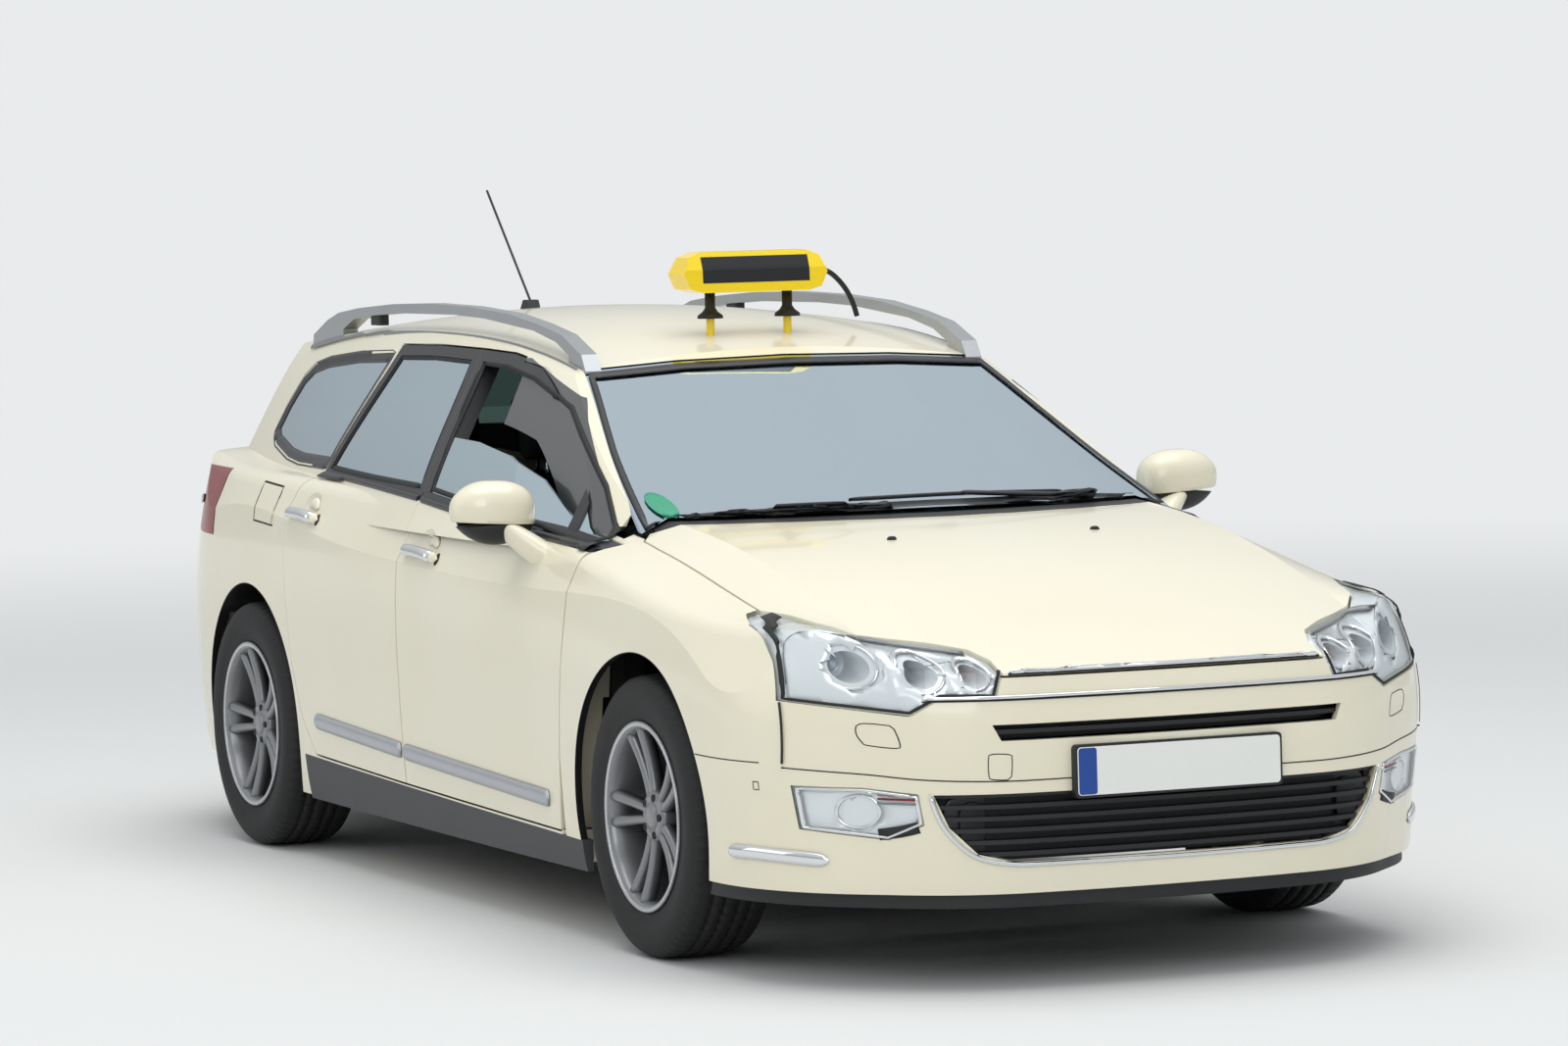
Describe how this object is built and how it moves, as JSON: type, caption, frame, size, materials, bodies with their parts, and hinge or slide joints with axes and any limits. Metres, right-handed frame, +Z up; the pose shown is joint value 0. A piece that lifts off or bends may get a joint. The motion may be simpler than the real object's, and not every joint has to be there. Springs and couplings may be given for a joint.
{
  "type": "taxi cab",
  "caption": "Five-door estate taxi cab with opening doors, bonnet, tailgate and fuel flap, steered front wheels and a roof sign.",
  "frame": {"origin": "centre of the bounding box at ground level", "axes": "+Z up, the front of the car faces -Y, its left side is +X"},
  "size_m": [2.1096, 4.8309, 1.8005],
  "materials": {
    "paint": "light ivory gloss paint",
    "structure": "dark underbody coating",
    "clear_glass": "tinted window glass",
    "lamp_glass": "clear lamp cover",
    "chrome": "metallised lamp reflector",
    "lamp_red": "red lamp lens",
    "black_plastic": "grained black plastic",
    "grey_plastic": "grained grey plastic",
    "tyre": "tyre rubber",
    "alloy": "painted alloy",
    "steel": "bare steel",
    "iron": "cast iron",
    "seat_cloth": "black seat cloth",
    "rail": "satin anodised aluminium",
    "sign_yellow": "yellow plastic housing"
  },
  "bodies": {
    "body": {"body_sides": "paint", "tail_lamps": "lamp_red", "roof_panel": "paint", "fixed_glass": "clear_glass", "lamp_covers": "lamp_glass", "lamp_housings": "chrome", "front_bumper": "paint", "grilles": "black_plastic", "front_fenders": "paint", "cowl_panel": "black_plastic", "rear_bumper": "paint", "sill_skirts": "grey_plastic", "front_suspension": "iron", "rear_suspension": "iron", "wheel_housings": "black_plastic", "front_frame": "structure", "engine_block": "iron", "floor_pan": "structure", "exhaust": "steel", "dashboard": "grey_plastic", "front_seats": "seat_cloth", "rear_bench": "seat_cloth", "roof_rails": "rail", "taxi_sign": "sign_yellow", "aerial": "black_plastic"},
    "tailgate": {"tailgate": "paint", "tailgate_glass": "clear_glass"},
    "bonnet": {"bonnet": "paint"},
    "fuel_flap": {"fuel_flap": "paint"},
    "door_front_left": {"door_front_left": "paint", "glass_front_left": "clear_glass", "mirror_left": "paint"},
    "door_rear_left": {"door_rear_left": "paint", "glass_rear_left": "clear_glass"},
    "knuckle_left": {"knuckle_left": "iron"},
    "wheel_front_left": {"tyre_front_left": "tyre", "rim_front_left": "alloy"},
    "wheel_rear_left": {"tyre_rear_left": "tyre", "rim_rear_left": "alloy"},
    "door_front_right": {"door_front_right": "paint", "glass_front_right": "clear_glass", "mirror_right": "paint"},
    "door_rear_right": {"door_rear_right": "paint", "glass_rear_right": "clear_glass"},
    "knuckle_right": {"knuckle_right": "iron"},
    "wheel_front_right": {"tyre_front_right": "tyre", "rim_front_right": "alloy"},
    "wheel_rear_right": {"tyre_rear_right": "tyre", "rim_rear_right": "alloy"}
  },
  "joints": [
    {"name": "door_front_left_hinge", "type": "hinge", "parent": "body", "child": "door_front_left", "pos_m": [0.921, -1.005, 0.6], "axis": [0, 0, -1], "range_deg": [0, 68]},
    {"name": "door_rear_left_hinge", "type": "hinge", "parent": "body", "child": "door_rear_left", "pos_m": [0.921, 0.196, 0.6], "axis": [0, 0, -1], "range_deg": [0, 70]},
    {"name": "steer_left", "type": "hinge", "parent": "body", "child": "knuckle_left", "pos_m": [0.75, -1.3745, 0.3395], "axis": [0, 0, 1], "range_deg": [-32, 32]},
    {"name": "wheel_front_left_spin", "type": "hinge", "parent": "knuckle_left", "child": "wheel_front_left", "pos_m": [0.79, -1.3745, 0.3395], "axis": [1, 0, 0], "continuous": true},
    {"name": "wheel_rear_left_spin", "type": "hinge", "parent": "body", "child": "wheel_rear_left", "pos_m": [0.79, 1.4405, 0.3395], "axis": [1, 0, 0], "continuous": true},
    {"name": "door_front_right_hinge", "type": "hinge", "parent": "body", "child": "door_front_right", "pos_m": [-0.921, -1.005, 0.6], "axis": [0, 0, 1], "range_deg": [0, 68]},
    {"name": "door_rear_right_hinge", "type": "hinge", "parent": "body", "child": "door_rear_right", "pos_m": [-0.921, 0.196, 0.6], "axis": [0, 0, 1], "range_deg": [0, 70]},
    {"name": "steer_right", "type": "hinge", "parent": "body", "child": "knuckle_right", "pos_m": [-0.75, -1.3745, 0.3395], "axis": [0, 0, 1], "range_deg": [-32, 32]},
    {"name": "wheel_front_right_spin", "type": "hinge", "parent": "knuckle_right", "child": "wheel_front_right", "pos_m": [-0.79, -1.3745, 0.3395], "axis": [1, 0, 0], "continuous": true},
    {"name": "wheel_rear_right_spin", "type": "hinge", "parent": "body", "child": "wheel_rear_right", "pos_m": [-0.79, 1.4405, 0.3395], "axis": [1, 0, 0], "continuous": true},
    {"name": "tailgate_hinge", "type": "hinge", "parent": "body", "child": "tailgate", "pos_m": [0, 1.944, 1.414], "axis": [1, 0, 0], "range_deg": [0, 78]},
    {"name": "bonnet_hinge", "type": "hinge", "parent": "body", "child": "bonnet", "pos_m": [0, -1.004, 1], "axis": [-1, 0, 0], "range_deg": [0, 55]},
    {"name": "fuel_flap_hinge", "type": "hinge", "parent": "body", "child": "fuel_flap", "pos_m": [-0.905, 1.228, 0.955], "axis": [0, 0, 1], "range_deg": [0, 100]}
  ],
  "couplings": [
    {"joint": "steer_right", "follows": "steer_left", "ratio": 1}
  ]
}
